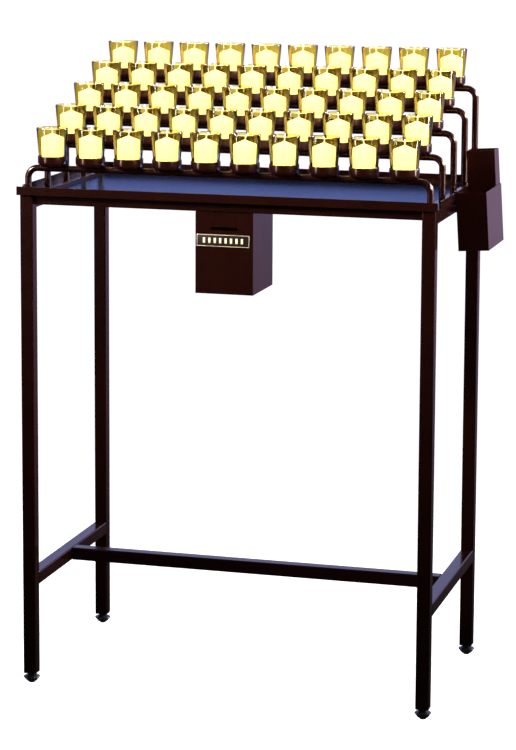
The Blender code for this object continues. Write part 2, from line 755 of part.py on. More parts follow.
def build_holder(paint, parts, cutters):
    """The taper box, which leans out from the lip that it hooks over, and the tall sleeve in it.

    Both are built upright about the top outer edge of the lip and then turned about that edge.
    """
    pivot = Vector((
        CENTRE_X + TRAY_WIDTH / 2,
        CENTRE_Y - FRAME_HALF_DEPTH + HOLDER_FROM_LEG_FRONT + HOLDER_DEPTH / 2,
        LIP_TOP,
    ))
    lean = Matrix.Rotation(-HOLDER_LEAN, 4, "Y")
    place = Matrix.Translation(pivot) @ lean
    low = (HOOK_GAP, -HOLDER_DEPTH / 2, -HOLDER_HEIGHT)
    high = (HOOK_GAP + HOLDER_WIDTH, HOLDER_DEPTH / 2, 0)
    box = add_shell("taper_box", low, high, [(0, 0, 1)], HOLDER_SHEET, paint, parts)
    set_origin(box, (0, 0, 0))
    box.matrix_world = place

    across = lean @ Vector((1, 0, 0))
    up = lean @ Vector((0, 0, 1))
    matrix = axes_matrix(across, up, (0, -1, 0), pivot)
    hook = add_outline("holder_hook", hook_outline(), HOLDER_DEPTH, paint, cutters, matrix)
    combine(box, meshed(hook, cutters), "UNION")

    spacer_z = -LIP_HEIGHT - SPACER_BELOW_LIP
    wall_x = HOOK_GAP * math.cos(HOLDER_LEAN) - spacer_z * math.sin(HOLDER_LEAN)
    spacer_length = wall_x + LIP_OVERHANG - GAP
    profile = disc_profile(SPACER_RADIUS, -HOLDER_SHEET / 2, spacer_length - SPACER_CLEARANCE)
    for end in (-1, 1):
        y = end * (HOLDER_DEPTH / 2 - SPACER_INSET)
        spacer = add_turned(f"holder_spacer_{end + 1}", profile, ROUND_SEGMENTS, paint, cutters)
        on_wall = Matrix.Translation((HOOK_GAP, y, spacer_z)) @ Matrix.Rotation(-math.pi / 2, 4, "Y")
        spacer.matrix_world = place @ on_wall
        combine(box, spacer, "UNION")

    low = (
        HOOK_GAP + HOLDER_SHEET + GAP,
        HOLDER_DEPTH / 2 - HOLDER_SHEET - GAP - SLEEVE_DEPTH,
        -HOLDER_HEIGHT + HOLDER_SHEET + GAP,
    )
    high = (
        HOOK_GAP + HOLDER_WIDTH - HOLDER_SHEET - GAP,
        HOLDER_DEPTH / 2 - HOLDER_SHEET - GAP,
        low[2] + SLEEVE_HEIGHT,
    )
    ways = [(0, 0, 1), (0, 0, -1)]
    sleeve = add_shell("taper_sleeve", low, high, ways, SLEEVE_SHEET, paint, parts)
    set_origin(sleeve, (0, 0, 0))
    sleeve.matrix_world = place


def main():
    """Build the rack."""
    clear_scene()
    parts = new_collection("votive_candle_rack")
    cutters = new_collection("cutters")
    paint = new_material("brown_paint", (0.035, 0.008, 0.006), 0.3)
    mirror = new_material("polished_pan", (0.12, 0.14, 0.32), 0.1, metallic=1.0)
    glass = new_material("amber_glass", (0.8, 0.6, 0.08), 0.02, transmission=1.0)
    wax = new_material("wax", (0.92, 0.86, 0.68), 0.5)
    plastic = new_material("black_plastic", (0.01, 0.01, 0.012), 0.25)
    nylon = new_material("nylon", (0.03, 0.03, 0.03), 0.5)
    steel = new_material("zinc_steel", (0.6, 0.6, 0.62), 0.3, metallic=1.0)
    brass = new_material("brass", (0.75, 0.55, 0.25), 0.3, metallic=1.0)
    build_legs(paint, parts)
    build_feet(plastic, nylon, parts, cutters)
    build_frame(paint, parts)
    build_tray(paint, mirror, parts)
    build_rails(paint, parts, cutters)
    build_top_row(glass, wax, parts)
    build_box_body(paint, parts, cutters)
    build_box_door(paint, steel, parts, cutters)
    build_name_plate(brass, parts, cutters)
    build_holder(paint, parts, cutters)
    for obj in parts.objects:
        if obj.type == "MESH":
            obj.data.shade_smooth()
            obj.data.set_sharp_from_angle(angle=SHARP_ANGLE)


main()
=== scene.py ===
"""The look of the votive candle rack over its CAD frame: finer rails, cups, glasses, candles and wicks,
softened sheet edges, procedural materials, a pale studio and the camera.

Units are metres, +Z is up and the front faces -Y.
"""

import json
import math
import random

import bmesh
import bpy
from mathutils import Matrix, Vector

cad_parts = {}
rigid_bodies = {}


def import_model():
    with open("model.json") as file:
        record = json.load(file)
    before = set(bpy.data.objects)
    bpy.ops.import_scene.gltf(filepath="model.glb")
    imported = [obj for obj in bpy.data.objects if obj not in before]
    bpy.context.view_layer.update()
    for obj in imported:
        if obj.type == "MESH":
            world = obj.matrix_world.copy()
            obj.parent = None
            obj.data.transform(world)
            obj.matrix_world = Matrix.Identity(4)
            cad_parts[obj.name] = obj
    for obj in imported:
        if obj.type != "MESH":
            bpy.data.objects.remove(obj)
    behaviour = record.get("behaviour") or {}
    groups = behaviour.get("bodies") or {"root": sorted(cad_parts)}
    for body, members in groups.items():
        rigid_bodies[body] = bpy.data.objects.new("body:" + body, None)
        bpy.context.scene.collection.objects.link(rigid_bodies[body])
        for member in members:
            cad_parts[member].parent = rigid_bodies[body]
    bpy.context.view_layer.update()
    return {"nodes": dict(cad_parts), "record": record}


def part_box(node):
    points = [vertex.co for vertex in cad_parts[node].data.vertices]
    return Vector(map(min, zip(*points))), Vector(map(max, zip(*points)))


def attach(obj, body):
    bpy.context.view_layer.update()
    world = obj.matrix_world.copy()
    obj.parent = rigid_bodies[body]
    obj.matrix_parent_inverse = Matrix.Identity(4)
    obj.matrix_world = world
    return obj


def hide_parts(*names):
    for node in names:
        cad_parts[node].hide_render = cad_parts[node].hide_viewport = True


for leftover in list(bpy.data.objects):
    bpy.data.objects.remove(leftover, do_unlink=True)

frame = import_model()

MM = 0.001
ROW_COUNT = 5
CUP_COUNT = 10
SEED = 7
GAP = 0.3 * MM
SHARP_ANGLE = math.radians(38)
TURNED_SHARP_ANGLE = math.radians(50)
BEVEL_ANGLE = math.radians(40)
POLE_RADIUS = 1e-7

# Rails, cups and weld beads: sizes that the CAD boxes don't give
RAIL_RADIUS = 6.35 * MM
RAIL_BEND_RADIUS = 19 * MM
RAIL_BEND_STEPS = 14
RAIL_SIDES = 28
CUP_PITCH = 75.5 * MM
CUP_RADIUS = 28 * MM
CUP_HEIGHT = 19 * MM
CUP_WALL = 1.6 * MM
CUP_FLOOR = 2 * MM
CUP_FLOOR_ROUND = 2.2 * MM
CUP_FOOT_ROUND = 7 * MM
CUP_SINK = 1 * MM
CUP_SIDES = 72
WELD_RADIUS = 1.6 * MM

# Glasses, candles and wicks
GLASS_HEIGHT = 70 * MM
GLASS_RIM_RADIUS = 30.5 * MM
GLASS_BASE_RADIUS = 24.5 * MM
GLASS_WALL = 2.6 * MM
GLASS_FLOOR = 6 * MM
GLASS_FLOOR_ROUND = 2.5 * MM
GLASS_FOOT_ROUND = 2 * MM
GLASS_FOOT_INSET = 1.8 * MM
GLASS_SIDES = 72
CANDLE_TOP_RADIUS = 21.5 * MM
CANDLE_BASE_RADIUS = 20.2 * MM
CANDLE_HEIGHT = 43 * MM
CANDLE_CROWN = 8 * MM
CANDLE_EDGE = 0.8 * MM
CANDLE_FOOT_ROUND = 1 * MM
CANDLE_TIP_RADIUS = 1.2 * MM
CANDLE_TIP_DROP = 0.25 * MM
CANDLE_SIDES = 56
WICK_RADIUS = 1.15 * MM
WICK_ROOT = 2 * MM
WICK_STEPS = 9
WICK_SIDES = 10

# Levelling feet
STUD_RADIUS = 4 * MM
STUD_CHAMFER = 0.4 * MM
COLLAR_RADIUS = 8 * MM
COLLAR_TOP = 19.7 * MM
COLLAR_ROUND = 0.8 * MM
GLIDE_RADIUS = 16 * MM
GLIDE_HEIGHT = 11.5 * MM
GLIDE_ROUND = 1.4 * MM
PAD_RADIUS = 6 * MM
PAD_ROUND = 0.6 * MM
FOOT_SIDES = 48
FOOT_TRAVEL = 12 * MM

# The plate
PLATE_BORDER = 0.7 * MM
PLATE_RELIEF = 0.7 * MM
BAR_COUNT = 8
BAR_PITCH = 10.5 * MM
BAR_WIDTH = 4.2 * MM
BAR_HEIGHT = 9.5 * MM
BAR_DEPTH = 1 * MM
BAR_EDGE = 0.3 * MM

# Colours of the surroundings, as the rack reflects them
DIM_FRONT = (0.03, 0.028, 0.03)
PURPLE_FLOOR = (0.42, 0.30, 0.50)
BLUE_SKY = (0.50, 0.53, 1.0)


# ---------------------------------------------------------------- shapes


def place_mesh(name, mesh, body, material, at=(0, 0, 0)):
    """An object of a finished mesh at a point, on a CAD body."""
    obj = bpy.data.objects.new(name, mesh)
    if not mesh.materials:
        mesh.materials.append(material)
    bpy.context.scene.collection.objects.link(obj)
    obj.location = at
    bpy.context.view_layer.update()
    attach(obj, body)
    return obj


def finished(name, shape, sharp=SHARP_ANGLE):
    """The mesh of a bmesh, facing out, smooth but for its sharp edges."""
    bmesh.ops.recalc_face_normals(shape, faces=shape.faces)
    mesh = bpy.data.meshes.new(name)
    shape.to_mesh(mesh)
    shape.free()
    mesh.shade_smooth()
    mesh.set_sharp_from_angle(angle=sharp)
    return mesh


def arc(centre, radius, start, end, steps):
    """Points of a circular arc in a profile, with its angles in degrees."""
    points = []
    for step in range(steps + 1):
        turn = math.radians(start + (end - start) * step / steps)
        points.append((centre[0] + radius * math.cos(turn), centre[1] + radius * math.sin(turn)))
    return points


def turned_mesh(name, profile, sides, sharp=SHARP_ANGLE):
    """A closed shape turned about Z from (radius, height) points. Points at radius 0 become poles."""
    shape = bmesh.new()
    rings = []
    for radius, height in profile:
        if radius < POLE_RADIUS:
            rings.append([shape.verts.new((0, 0, height))])
            continue
        ring = []
        for side in range(sides):
            turn = math.tau * side / sides
            ring.append(shape.verts.new((radius * math.cos(turn), radius * math.sin(turn), height)))
        rings.append(ring)
    for lower, upper in zip(rings, rings[1:]):
        for side in range(sides):
            after = (side + 1) % sides
            corners = [lower[side % len(lower)], lower[after % len(lower)]]
            corners += [upper[after % len(upper)], upper[side % len(upper)]]
            corners = list(dict.fromkeys(corners))
            if len(corners) > 2:
                shape.faces.new(corners)
    return finished(name, shape, sharp)


def swept_mesh(name, path, radii, sides):
    """A closed round bar along a path, with one radius for each point."""
    shape = bmesh.new()
    rings = []
    normal = None
    for index, point in enumerate(path):
        before = path[max(index - 1, 0)]
        after = path[min(index + 1, len(path) - 1)]
        ahead = (after - before).normalized()
        if normal is None:
            normal = ahead.orthogonal().normalized()
        normal = (normal - ahead * normal.dot(ahead)).normalized()
        across = ahead.cross(normal)
        ring = []
        for side in range(sides):
            turn = math.tau * side / sides
            offset = (normal * math.cos(turn) + across * math.sin(turn)) * radii[index]
            ring.append(shape.verts.new(point + offset))
        rings.append(ring)
    for lower, upper in zip(rings, rings[1:]):
        for side in range(sides):
            after = (side + 1) % sides
            shape.faces.new((lower[side], lower[after], upper[after], upper[side]))
    shape.faces.new(list(reversed(rings[0])))
    shape.faces.new(rings[-1])
    return finished(name, shape)


def block_mesh(name, low, high, edge, segments=3):
    """A rectangular block between two corners, with rounded edges."""
    low = Vector(low)
    high = Vector(high)
    shape = bmesh.new()
    bmesh.ops.create_cube(shape, size=1.0)
    bmesh.ops.scale(shape, vec=high - low, verts=shape.verts)
    bmesh.ops.translate(shape, vec=(low + high) / 2, verts=shape.verts)
    bmesh.ops.bevel(shape, geom=shape.edges[:], offset=edge, segments=segments, affect="EDGES",
                    profile=0.5)
    return finished(name, shape)


def soften(node, width):
    """Rounds the sharp edges of a CAD node as it is drawn."""
    obj = frame["nodes"][node]
    weld = obj.modifiers.new("weld", "WELD")
    weld.merge_threshold = 0.01 * MM
    bevel = obj.modifiers.new("edges", "BEVEL")
    bevel.width = width
    bevel.segments = 2
    bevel.limit_method = "ANGLE"
    bevel.angle_limit = BEVEL_ANGLE
    obj.data.shade_flat()


# ---------------------------------------------------------------- materials


class Look:
    """A Principled material and the means to drive its sockets from procedural textures."""

    def __init__(self, name, roughness, **sockets):
        self.material = bpy.data.materials.new(name)
        self.material.use_nodes = True
        self.nodes = self.material.node_tree.nodes
        self.links = self.material.node_tree.links
        self.shader = self.nodes["Principled BSDF"]
        self.shader.inputs["Roughness"].default_value = roughness
        for socket, value in sockets.items():
            self.shader.inputs[socket.replace("_", " ")].default_value = value

    def noise(self, scale, detail=2.0, stretch=None, distortion=0.0):
        """A noise texture in the object's own place, in cells per metre."""
        texture = self.nodes.new("ShaderNodeTexNoise")
        texture.inputs["Scale"].default_value = scale
        texture.inputs["Detail"].default_value = detail
        texture.inputs["Distortion"].default_value = distortion
        source = self.nodes.new("ShaderNodeTexCoord").outputs["Object"]
        if stretch:
            mapping = self.nodes.new("ShaderNodeMapping")
            mapping.inputs["Scale"].default_value = stretch
            self.links.new(source, mapping.inputs["Vector"])
            source = mapping.outputs["Vector"]
        self.links.new(source, texture.inputs["Vector"])
        return texture.outputs["Fac"]

    def ramp(self, source, *stops):
        """A colour ramp over a value."""
        ramp = self.nodes.new("ShaderNodeValToRGB")
        elements = ramp.color_ramp.elements
        while len(elements) < len(stops):
            elements.new(0.5)
        for element, (position, colour) in zip(elements, stops):
            element.position = position
            element.color = (*colour, 1.0)
        self.links.new(source, ramp.inputs["Fac"])
        return ramp.outputs["Color"]

    def spread(self, source, low, high):
        """A value from 0 to 1 spread over a range."""
        spread = self.nodes.new("ShaderNodeMapRange")
        spread.inputs["To Min"].default_value = low
        spread.inputs["To Max"].default_value = high
        self.links.new(source, spread.inputs["Value"])
        return spread.outputs["Result"]

    def colour(self, source):
        """Drives the base colour."""
        self.links.new(source, self.shader.inputs["Base Color"])
        return self

    def rough(self, source, low, high):
        """Drives the roughness over a range."""
        self.links.new(self.spread(source, low, high), self.shader.inputs["Roughness"])
        return self

    def bump(self, source, height, strength=1.0):
        """Raises the surface a little by a value."""
        bump = self.nodes.new("ShaderNodeBump")
        bump.inputs["Strength"].default_value = strength
        bump.inputs["Distance"].default_value = height
        self.links.new(source, bump.inputs["Height"])
        self.links.new(bump.outputs["Normal"], self.shader.inputs["Normal"])
        return self


def paint_look():
    """Semi-gloss dark brown powder coat with a faint orange peel."""
    look = Look("brown_paint", 0.2, IOR=1.5, Specular_IOR_Level=0.42)
    cloud = look.noise(14, 3)
    look.colour(look.ramp(cloud, (0.3, (0.0028, 0.0004, 0.0002)), (0.7, (0.0038, 0.0006, 0.0003))))
    look.shader.inputs["Specular Tint"].default_value = (0.85, 0.50, 0.40, 1.0)
    look.rough(look.noise(60, 2), 0.15, 0.23)
    look.bump(look.noise(900, 1), 0.00006, 0.35)
    return look.material


def pan_look():
    """Polished sheet with a slight roll wave, as a mirror tinted blue with a painted reflection of a
    bluish backdrop, whose step wall is brown paint.
    """
    look = Look("polished_pan", 0.2)
    # Painted reflection: the metal and its edge tint are blue for a bluish backdrop that it reflects;
    # polished sheet has no blue of its own.
    look.shader.inputs["Specular Tint"].default_value = (0.34, 0.43, 0.57, 1.0)
    wave = look.noise(6, 2, (1.0, 5.0, 1.0), 0.6)
    facing = look.nodes.new("ShaderNodeSeparateXYZ")
    look.links.new(look.nodes.new("ShaderNodeTexCoord").outputs["Normal"], facing.inputs["Vector"])
    flat = look.nodes.new("ShaderNodeMath")
    flat.operation = "GREATER_THAN"
    flat.inputs[1].default_value = 0.8
    look.links.new(facing.outputs["Z"], flat.inputs[0])
    share = look.nodes.new("ShaderNodeMath")
    share.operation = "MULTIPLY"
    look.links.new(wave, share.inputs[0])
    look.links.new(flat.outputs["Value"], share.inputs[1])
    # The flat floor's painted blue reflection rises and falls along the roll wave; the walls (stop at
    # 0) are brown paint.
    look.colour(look.ramp(share.outputs["Value"], (0.0, (0.006, 0.0015, 0.0008)),
                          (0.15, (0.085, 0.115, 0.20)), (0.7, (0.100, 0.130, 0.22))))
    look.links.new(flat.outputs["Value"], look.shader.inputs["Metallic"])
    look.rough(look.noise(9, 3), 0.15, 0.24)
    look.bump(wave, 0.0006, 0.5)
    return look.material


def glass_look():
    """Amber pressed glass, coloured through its depth, that lets lamps through to the candle."""
    look = Look("amber_glass", 0.02, IOR=1.48)
    look.shader.inputs["Transmission Weight"].default_value = 1.0
    cloud = look.noise(30, 2)
    look.colour(look.ramp(cloud, (0.3, (0.98, 0.96, 0.86)), (0.7, (0.99, 0.97, 0.90))))
    look.bump(look.noise(70, 1, (1.0, 1.0, 0.4)), 0.0004, 0.25)
    path = look.nodes.new("ShaderNodeLightPath")
    clear = look.nodes.new("ShaderNodeBsdfTransparent")
    clear.inputs["Color"].default_value = (0.99, 0.98, 0.93, 1.0)
    depth = look.nodes.new("ShaderNodeVolumeAbsorption")
    depth.inputs["Color"].default_value = (0.735, 0.64, 0.0, 1.0)
    depth.inputs["Density"].default_value = 500.0
    mix = look.nodes.new("ShaderNodeMixShader")
    out = look.nodes["Material Output"]
    look.links.new(path.outputs["Is Shadow Ray"], mix.inputs["Fac"])
    look.links.new(look.shader.outputs["BSDF"], mix.inputs[1])
    look.links.new(clear.outputs["BSDF"], mix.inputs[2])
    look.links.new(mix.outputs["Shader"], out.inputs["Surface"])
    look.links.new(depth.outputs["Volume"], out.inputs["Volume"])
    return look.material


def wax_look():
    """Cream candle wax with a small painted glow in place of strong lamp light, painted yellower
    towards its foot as if tinted by the amber glass it stands deep in.
    """
    # Painted glow: the unlit wax emits a faint blue-white light of its own, standing in for strong lamp
    # light on the candles.
    look = Look("candle_wax", 0.42, Subsurface_Weight=0.25, Subsurface_Scale=0.012,
                Emission_Strength=1.95)
    look.shader.inputs["Emission Color"].default_value = (0.90, 0.88, 1.0, 1.0)
    look.shader.inputs["Subsurface Radius"].default_value = (1.0, 0.75, 0.4)
    up = look.nodes.new("ShaderNodeSeparateXYZ")
    look.links.new(look.nodes.new("ShaderNodeTexCoord").outputs["Object"], up.inputs["Vector"])
    height = look.nodes.new("ShaderNodeMapRange")
    height.inputs["From Max"].default_value = CANDLE_HEIGHT
    look.links.new(up.outputs["Z"], height.inputs["Value"])
    # Painted tint: the wax is yellower towards its foot, standing in for light that reaches it deep
    # through the amber glass.
    look.colour(look.ramp(height.outputs["Result"], (0.0, (0.95, 0.82, 0.40)),
                          (0.55, (0.96, 0.92, 0.80)), (1.0, (0.97, 0.96, 0.93))))
    look.bump(look.noise(260, 2), 0.0002, 0.2)
    return look.material


def wick_look():
    """Waxed braided cotton."""
    look = Look("wick_cotton", 0.7)
    braid = look.noise(1500, 2)
    look.colour(look.ramp(braid, (0.3, (0.84, 0.82, 0.74)), (0.7, (0.95, 0.94, 0.90))))
    look.bump(braid, 0.0003, 0.6)
    return look.material


def plastic_look(name, dark, light, roughness, shine=0.5):
    """Dark moulded plastic or enamel."""
    look = Look(name, roughness, Specular_IOR_Level=shine)
    look.colour(look.ramp(look.noise(80, 2), (0.3, dark), (0.7, light)))
    look.rough(look.noise(200, 2), roughness, roughness + 0.1)
    return look.material


def metal_look(name, dark, light, low, high, metallic=1.0):
    """Brushed metal, or a metallic lacquer where it's less than fully metallic."""
    look = Look(name, low, Metallic=metallic)
    brush = look.noise(220, 3, (1.0, 1.0, 8.0))
    look.colour(look.ramp(brush, (0.3, dark), (0.7, light)))
    look.rough(brush, low, high)
    return look.material


PAINT = paint_look()
PAN = pan_look()
GLASS = glass_look()
WAX = wax_look()
WICK = wick_look()
PLASTIC = plastic_look("black_plastic", (0.006, 0.006, 0.007), (0.012, 0.012, 0.014), 0.18)
NYLON = plastic_look("nylon_insert", (0.02, 0.02, 0.02), (0.035, 0.035, 0.035), 0.5)
ZINC = metal_look("zinc_steel", (0.52, 0.53, 0.56), (0.70, 0.71, 0.73), 0.22, 0.40)
BRASS = metal_look("brass", (0.42, 0.34, 0.20), (0.60, 0.50, 0.32), 0.3, 0.45, 0.5)
ENAMEL = plastic_look("plate_field", (0.002, 0.001, 0.001), (0.005, 0.002, 0.002), 0.4, 0.1)

SLOT_LOOKS = {
    "brown_paint": PAINT,
    "polished_sheet": PAN,
    "amber_glass": GLASS,
    "candle_wax": WAX,
    "black_plastic": PLASTIC,
    "nylon_insert": NYLON,
    "zinc_steel": ZINC,
    "brass_plate": BRASS,
}
for entry in frame["record"]["subparts"]:
    mesh = frame["nodes"][entry["node"]].data
    mesh.materials.clear()
    mesh.materials.append(SLOT_LOOKS[entry["material_slot"]])


# ---------------------------------------------------------------- rails and cups


def rail_points(low, high):
    """The centre line of a rail inside its CAD box: up, round a bend, across, round and down."""
    left = low.x + RAIL_RADIUS
    right = high.x - RAIL_RADIUS
    top = high.z - CUP_HEIGHT + CUP_SINK - RAIL_RADIUS
    y = (low.y + high.y) / 2
    bend = RAIL_BEND_RADIUS
    points = [Vector((left, y, low.z))]
    for x, z in arc((left + bend, top - bend), bend, 180, 90, RAIL_BEND_STEPS):
        points.append(Vector((x, y, z)))
    for x, z in arc((right - bend, top - bend), bend, 90, 0, RAIL_BEND_STEPS):
        points.append(Vector((x, y, z)))
    points.append(Vector((right, y, low.z)))
    return points


def cup_profile():
    """A shallow cup with a softly rounded foot and a rolled rim, from its inner floor to its base."""
    inner = CUP_RADIUS - CUP_WALL
    rim = CUP_WALL / 2
    bottom = CUP_FLOOR_ROUND
    foot = CUP_FOOT_ROUND
    profile = [(0, CUP_FLOOR)]
    profile += arc((inner - bottom, CUP_FLOOR + bottom), bottom, -90, 0, 5)
    profile += arc((CUP_RADIUS - rim, CUP_HEIGHT - rim), rim, 180, 0, 8)
    profile += arc((CUP_RADIUS - foot, foot), foot, 0, -90, 10)
    profile.append((0, 0))
    return profile


def build_rails():
    """A smooth tube for each rail, ten cups on it, and the weld beads at the tube feet."""
    cup_mesh = turned_mesh("cup", cup_profile(), CUP_SIDES)
    bead_mesh = turned_mesh("tube_foot_weld", bead_profile(RAIL_RADIUS), RAIL_SIDES)
    for row in range(ROW_COUNT):
        node = f"candle_rail_{row + 1}"
        low, high = (Vector(corner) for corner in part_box(node))
        points = rail_points(low, high)
        mesh = swept_mesh(f"rail_tube_{row + 1}", points, [RAIL_RADIUS] * len(points), RAIL_SIDES)
        tube = place_mesh(f"rail_tube_{row + 1}", mesh, "stand", PAINT)
        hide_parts(node)
        for end, point in (("left", points[0]), ("right", points[-1])):
            name = f"rail_weld_{row + 1}_{end}"
            place_mesh(name, bead_mesh, "stand", PAINT, point - Vector((0, 0, GAP)))
        middle = (low.x + high.x) / 2
        for index in range(CUP_COUNT):
            x = middle + (index - (CUP_COUNT - 1) / 2) * CUP_PITCH
            at = Vector((x, (low.y + high.y) / 2, high.z - CUP_HEIGHT))
            place_mesh(f"cup_{row + 1}_{index + 1:02d}", cup_mesh, "stand", PAINT, at)


def bead_profile(radius):
    """A small weld fillet ring around a tube that stands on a flat face."""
    outer = radius + WELD_RADIUS
    inner = radius - GAP
    return [
        (inner, 0),
        (outer, 0),
        (radius + 0.55 * WELD_RADIUS, 0.45 * WELD_RADIUS),
        (radius + 0.15 * WELD_RADIUS, WELD_RADIUS),
        (inner, WELD_RADIUS),
        (inner, 0),
    ]


# ---------------------------------------------------------------- glasses, candles and wicks


def glass_profile():
    """A pressed glass with a thick floor, a rounded foot and rim, from its inner floor to its base."""
    slope = (GLASS_RIM_RADIUS - GLASS_BASE_RADIUS) / GLASS_HEIGHT
    inner_floor = GLASS_BASE_RADIUS + slope * GLASS_FLOOR - GLASS_WALL
    rim = GLASS_WALL / 2
    bottom = GLASS_FLOOR_ROUND
    foot = GLASS_FOOT_ROUND
    profile = [(0, GLASS_FLOOR)]
    profile += arc((inner_floor - bottom, GLASS_FLOOR + bottom), bottom, -90, 0, 6)
    profile += arc((GLASS_RIM_RADIUS - rim, GLASS_HEIGHT - rim), rim, 175, -5, 10)
    profile += arc((GLASS_BASE_RADIUS - GLASS_FOOT_INSET, foot), foot, -5, -90, 6)
    profile.append((0, 0))
    return profile


def candle_profile():
    """A tapered candle with a small shoulder and a conical crown."""
    tip = CANDLE_HEIGHT + CANDLE_CROWN
    edge = CANDLE_EDGE
    foot = CANDLE_FOOT_ROUND
    profile = [(0, tip), (CANDLE_TIP_RADIUS, tip - CANDLE_TIP_DROP)]
    profile += arc((CANDLE_TOP_RADIUS - edge, CANDLE_HEIGHT - edge), edge, 72, 0, 4)
    profile += arc((CANDLE_BASE_RADIUS - foot, foot), foot, 0, -90, 3)
    profile.append((0, 0))
    return profile


def wick_mesh(name, generator):
    """A thin wick that leans and curls, from just inside the crown to about the glass's rim."""
    heading = generator.uniform(0, math.tau)
    lean = generator.uniform(0.05, 0.30)
    curl = generator.uniform(-0.9, 1.3)
    length = generator.uniform(12.5, 15.5) * MM
    point = Vector((0, 0, -WICK_ROOT))
    path = [point.copy()]
    for step in range(WICK_STEPS):
        share = step / (WICK_STEPS - 1)
        tilt = lean + curl * share * share * 0.8
        way = heading + 0.5 * share
        ahead = Vector((math.sin(tilt) * math.cos(way), math.sin(tilt) * math.sin(way), math.cos(tilt)))
        point += ahead * (length + WICK_ROOT) / WICK_STEPS
        path.append(point.copy())
    radii = [WICK_RADIUS * (1 + generator.uniform(-0.08, 0.08)) for _ in path]
    radii[-1] *= 0.7
    return swept_mesh(name, path, radii, WICK_SIDES)


def build_votives():
    """A glass, a candle and a wick in every cup; the top row stands for the CAD's own glasses."""
    generator = random.Random(SEED)
    glass_mesh = turned_mesh("votive_glass", glass_profile(), GLASS_SIDES, TURNED_SHARP_ANGLE)
    candle_mesh = turned_mesh("votive_candle", candle_profile(), CANDLE_SIDES, TURNED_SHARP_ANGLE)
    for row in range(ROW_COUNT):
        low, high = (Vector(corner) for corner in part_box(f"candle_rail_{row + 1}"))
        middle = (low.x + high.x) / 2
        for index in range(CUP_COUNT):
            x = middle + (index - (CUP_COUNT - 1) / 2) * CUP_PITCH
            seat = Vector((x, (low.y + high.y) / 2, high.z - CUP_HEIGHT + CUP_FLOOR + GAP))
            tag = f"{row + 1}_{index + 1:02d}"
            top_row = row == ROW_COUNT - 1
            glass_body = f"glass_{index + 1:02d}" if top_row else "stand"
            candle_body = f"candle_{index + 1:02d}" if top_row else "stand"
            glass = place_mesh(f"glass_{tag}", glass_mesh, glass_body, GLASS, seat)
            foot = seat + Vector((0, 0, GLASS_FLOOR + GAP))
            candle = place_mesh(f"candle_{tag}", candle_mesh, candle_body, WAX, foot)
            crown = foot + Vector((0, 0, CANDLE_HEIGHT + CANDLE_CROWN))
            place_mesh(f"wick_{tag}", wick_mesh(f"wick_{tag}", generator), candle_body, WICK, crown)
            if top_row:
                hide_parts(f"votive_glass_{index + 1:02d}")
                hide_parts(f"votive_candle_{index + 1:02d}")


# ---------------------------------------------------------------- stand, feet, box and holder


def foot_profile(top):
    """A stud, a collar, a wide glide with a rounded edge and its contact pad, from the top down."""
    collar_bottom = COLLAR_TOP - 3.3 * MM
    profile = [(0, top), (STUD_RADIUS - STUD_CHAMFER, top)]
    profile += [(STUD_RADIUS, top - 1.5 * STUD_CHAMFER), (STUD_RADIUS, COLLAR_TOP)]
    profile += arc((COLLAR_RADIUS - COLLAR_ROUND, COLLAR_TOP - COLLAR_ROUND), COLLAR_ROUND, 90, 0, 3)
    profile += [(COLLAR_RADIUS, collar_bottom), (COLLAR_RADIUS + 1 * MM, collar_bottom - 1 * MM)]
    profile += arc((GLIDE_RADIUS - GLIDE_ROUND, GLIDE_HEIGHT), GLIDE_ROUND, 65, -60, 6)
    profile += [(PAD_RADIUS + 4 * MM, 3.5 * MM), (PAD_RADIUS + 0.3 * MM, 2.6 * MM)]
    profile += arc((PAD_RADIUS - PAD_ROUND, PAD_ROUND), PAD_ROUND, 0, -90, 3)
    profile.append((0, 0))
    return profile


def build_feet():
    """Finer levelling feet."""
    for place in ("front_left", "front_right", "rear_left", "rear_right"):
        node = f"levelling_foot_{place}"
        low, high = (Vector(corner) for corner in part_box(node))
        mesh = turned_mesh(f"foot_{place}", foot_profile(high.z), FOOT_SIDES)
        at = ((low.x + high.x) / 2, (low.y + high.y) / 2, 0)
        foot = place_mesh(f"foot_{place}_glide", mesh, f"foot_{place}", PLASTIC, at)
        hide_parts(node)


def build_plate():
    """The plate as a dark field with a brass border and plain raised bars."""
    low, high = (Vector(corner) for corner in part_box("name_plate"))
    border = PLATE_BORDER
    face = low.y
    back = face + BAR_DEPTH
    field = block_mesh("plate_field", (low.x, face + PLATE_RELIEF, low.z), high, 0.2 * MM, 2)
    plate = place_mesh("plate_field", field, "stand", ENAMEL)
    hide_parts("name_plate")
    strips = {
        "top": ((low.x, face, high.z - border), (high.x, back, high.z)),
        "bottom": ((low.x, face, low.z), (high.x, back, low.z + border)),
        "left": ((low.x, face, low.z + border), (low.x + border, back, high.z - border)),
        "right": ((high.x - border, face, low.z + border), (high.x, back, high.z - border)),
    }
    for name, (start, end) in strips.items():
        strip = block_mesh(name, start, end, BAR_EDGE)
        place_mesh(f"plate_border_{name}", strip, "stand", BRASS)
    centre = (low + high) / 2
    for index in range(BAR_COUNT):
        x = centre.x + (index - (BAR_COUNT - 1) / 2) * BAR_PITCH
        start = (x - BAR_WIDTH / 2, face, centre.z - BAR_HEIGHT / 2)
        end = (x + BAR_WIDTH / 2, back, centre.z + BAR_HEIGHT / 2)
        name = f"plate_bar_{index + 1}"
        place_mesh(name, block_mesh(name, start, end, BAR_EDGE), "stand", BRASS)


def soften_edges():
    """Rounds the edges of the tubes, the lips, the box and the holder."""
    for entry in frame["record"]["subparts"]:
        node = entry["node"]
        if node.startswith(("leg_front", "leg_rear", "upper_", "lower_")):
            soften(node, 1.2 * MM)
    for side in ("front", "rear", "left", "right"):
        soften(f"tray_lip_{side}", 0.8 * MM)
    soften("offering_box_body", 0.6 * MM)
    soften("offering_box_door", 0.5 * MM)
    soften("taper_box", 0.6 * MM)
    soften("taper_sleeve", 0.5 * MM)


build_rails()
build_votives()
build_feet()
build_plate()
soften_edges()


# ---------------------------------------------------------------- studio


